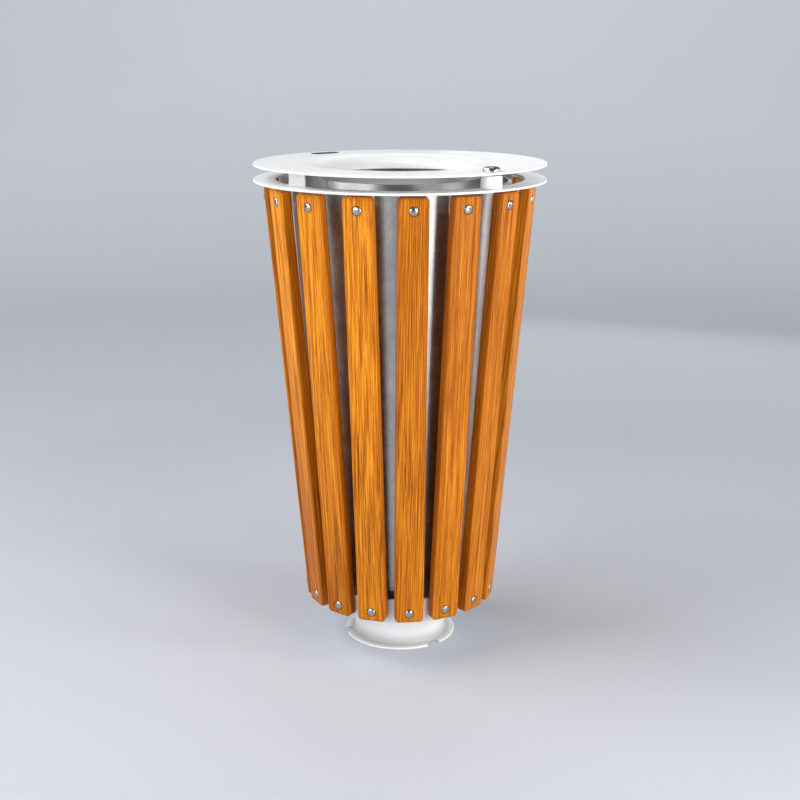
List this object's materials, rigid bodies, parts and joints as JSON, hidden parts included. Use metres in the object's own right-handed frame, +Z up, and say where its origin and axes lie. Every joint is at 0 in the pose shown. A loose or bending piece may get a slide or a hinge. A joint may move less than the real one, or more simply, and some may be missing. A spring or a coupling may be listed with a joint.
{
  "type": "litter bin",
  "caption": "Conical slatted litter bin on a steel foot, with a swivelling ring lid that has an open throat and a lift-out galvanised bucket.",
  "frame": {"origin": "centre of the foot's underside, on the floor", "axes": "+Z up along the bin's axis, +X towards the lid's pivot bolt, -Y towards the tab that is folded up under the lid"},
  "size_m": [0.52, 0.52, 0.9028],
  "materials": {
    "white_powder_coat": "satin white powder coat with a fine orange-peel texture",
    "varnished_oak": "golden oak grain under a satin varnish",
    "galvanised_steel": "hot-dip galvanised with a soft spangle",
    "stainless_steel": "bright stainless",
    "polished_chrome": "polished",
    "black_nylon": "matte"
  },
  "bodies": {
    "frame": {"base_flange": "white_powder_coat", "foot": "white_powder_coat", "bucket_platform": "galvanised_steel", "slat_ring": "white_powder_coat", "slat_01": "varnished_oak", "slat_02": "varnished_oak", "slat_03": "varnished_oak", "slat_04": "varnished_oak", "slat_05": "varnished_oak", "slat_06": "varnished_oak", "slat_07": "varnished_oak", "slat_08": "varnished_oak", "slat_09": "varnished_oak", "slat_10": "varnished_oak", "slat_11": "varnished_oak", "slat_12": "varnished_oak", "slat_13": "varnished_oak", "slat_14": "varnished_oak", "slat_15": "varnished_oak", "slat_16": "varnished_oak", "top_screw_01": "stainless_steel", "top_screw_02": "stainless_steel", "top_screw_03": "stainless_steel", "top_screw_04": "stainless_steel", "top_screw_05": "stainless_steel", "top_screw_06": "stainless_steel", "top_screw_07": "stainless_steel", "top_screw_08": "stainless_steel", "top_screw_09": "stainless_steel", "top_screw_10": "stainless_steel", "top_screw_11": "stainless_steel", "top_screw_12": "stainless_steel", "top_screw_13": "stainless_steel", "top_screw_14": "stainless_steel", "top_screw_15": "stainless_steel", "top_screw_16": "stainless_steel", "bottom_screw_01": "stainless_steel", "bottom_screw_02": "stainless_steel", "bottom_screw_03": "stainless_steel", "bottom_screw_04": "stainless_steel", "bottom_screw_05": "stainless_steel", "bottom_screw_06": "stainless_steel", "bottom_screw_07": "stainless_steel", "bottom_screw_08": "stainless_steel", "bottom_screw_09": "stainless_steel", "bottom_screw_10": "stainless_steel", "bottom_screw_11": "stainless_steel", "bottom_screw_12": "stainless_steel", "bottom_screw_13": "stainless_steel", "bottom_screw_14": "stainless_steel", "bottom_screw_15": "stainless_steel", "bottom_screw_16": "stainless_steel", "pivot_post": "white_powder_coat", "pivot_washer": "black_nylon", "pivot_bolt": "polished_chrome"},
    "lid": {"lid": "white_powder_coat", "grip_liner": "black_nylon"},
    "bucket": {"bucket": "galvanised_steel"},
    "handle_a": {"handle_a": "galvanised_steel"},
    "handle_b": {"handle_b": "galvanised_steel"}
  },
  "joints": [
    {"name": "lid_swivel", "type": "hinge", "parent": "frame", "child": "lid", "pos_m": [0.239, 0, 0.889], "axis": [0, 0, -1], "range_deg": [0, 150]},
    {"name": "bucket_lift", "type": "slide", "parent": "frame", "child": "bucket", "axis": [0, 0, 1], "range_m": [0, 0.02]},
    {"name": "handle_a_fold", "type": "hinge", "parent": "bucket", "child": "handle_a", "pos_m": [0, 0.171, 0.812], "axis": [-1, 0, 0], "range_deg": [0, 90]},
    {"name": "handle_b_fold", "type": "hinge", "parent": "bucket", "child": "handle_b", "pos_m": [0, -0.171, 0.812], "axis": [1, 0, 0], "range_deg": [0, 90]}
  ]
}
